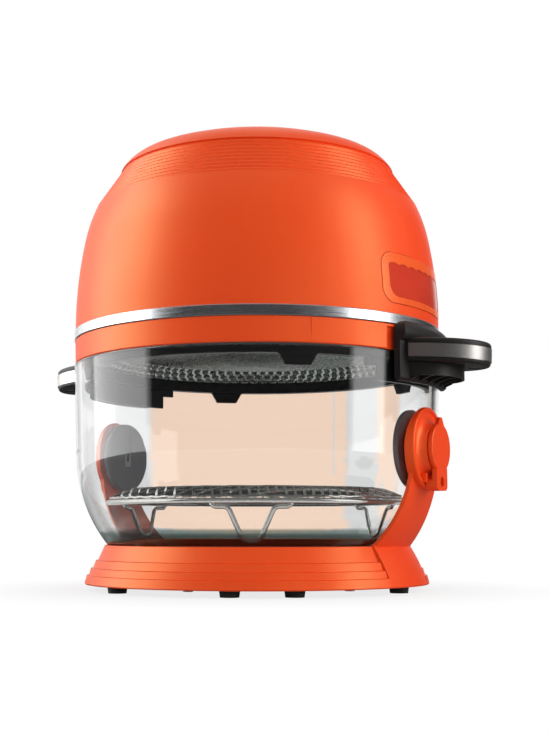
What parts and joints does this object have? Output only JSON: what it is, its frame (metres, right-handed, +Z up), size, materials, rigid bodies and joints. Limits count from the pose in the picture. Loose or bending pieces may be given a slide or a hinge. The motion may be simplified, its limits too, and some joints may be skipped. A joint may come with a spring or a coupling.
{
  "type": "glass bowl air fryer",
  "caption": "Round air fryer: a domed heating head with front and rear handles sits on a clear glass bowl held between two arms on a stepped base, with a wire rack inside.",
  "frame": {"origin": "centre of the footprint, level with the underside of the feet", "axes": "+Z up; the control panel, front handle and front arm face -Y; the rear handle and arm face +Y"},
  "size_m": [0.2818, 0.3774, 0.35],
  "materials": {
    "orange_plastic": "satin moulded orange plastic",
    "clear_glass": "clear thick heat-proof glass",
    "silver_trim": "bright silver band",
    "black_plastic": "fine-grained black plastic",
    "grey_plastic": "dark grey satin plastic",
    "light_plastic": "light grey plastic",
    "panel_glass": "glossy dark red window",
    "rack_steel": "bright nickelled steel wire",
    "guard_steel": "bright perforated sheet",
    "pan_steel": "bright pressed sheet",
    "element_steel": "heat-darkened steel tube",
    "silicone": "grey silicone",
    "black_rubber": "black rubber",
    "fixings_steel": "zinc plated steel",
    "board_green": "circuit board",
    "insulation_felt": "pale mineral felt",
    "seat_plastic": "dark moulded seat"
  },
  "bodies": {
    "base": {"glass_bowl": "clear_glass", "base_ring": "orange_plastic", "base_plate": "black_plastic", "rubber_feet": "black_rubber", "base_screws": "fixings_steel", "bowl_seat": "seat_plastic", "front_arm": "orange_plastic", "rear_arm": "orange_plastic", "front_spit_holder": "grey_plastic", "rear_spit_holder": "grey_plastic", "spit_bearings": "light_plastic", "bowl_bushes": "silicone"},
    "front_cap": {"front_lock_cap": "orange_plastic"},
    "rear_cap": {"rear_lock_cap": "orange_plastic"},
    "rack": {"rack_hoop": "rack_steel", "rack_legs": "rack_steel", "rack_top": "rack_steel"},
    "fan": {"fan_impeller": "pan_steel", "motor_shaft": "fixings_steel", "cooling_fan": "grey_plastic"},
    "head": {"dome_shell": "orange_plastic", "trim_band": "silver_trim", "skirt_ring": "orange_plastic", "guard_ring": "black_plastic", "guard_mesh": "guard_steel", "panel_bezel": "orange_plastic", "panel_window": "panel_glass", "control_board": "board_green", "rear_vent": "black_plastic", "cord_inlet": "black_rubber", "heater_pan": "pan_steel", "heating_element": "element_steel", "heater_clips": "fixings_steel", "insulation": "insulation_felt", "fan_motor": "pan_steel", "motor_bracket": "fixings_steel", "power_board": "board_green", "thermal_cutout": "fixings_steel", "front_handle_upper": "black_plastic", "rear_handle_upper": "black_plastic", "front_handle_lower": "black_plastic", "rear_handle_lower": "black_plastic", "front_handle_band": "silver_trim", "rear_handle_band": "silver_trim", "handle_screws": "fixings_steel"}
  },
  "joints": [
    {"name": "head_lift", "type": "slide", "parent": "base", "child": "head", "axis": [0, 0, 1], "range_m": [0, 0.2]},
    {"name": "rack_lift", "type": "slide", "parent": "base", "child": "rack", "axis": [0, 0, 1], "range_m": [0, 0.075]},
    {"name": "front_cap_turn", "type": "hinge", "parent": "base", "child": "front_cap", "pos_m": [0, -0.15, 0.1024], "axis": [0, -1, 0], "range_deg": [0, 90]},
    {"name": "rear_cap_turn", "type": "hinge", "parent": "base", "child": "rear_cap", "pos_m": [0, 0.15, 0.1024], "axis": [0, 1, 0], "range_deg": [0, 90]},
    {"name": "fan_spin", "type": "hinge", "parent": "head", "child": "fan", "pos_m": [0, 0, 0.21], "axis": [0, 0, 1], "continuous": true}
  ]
}
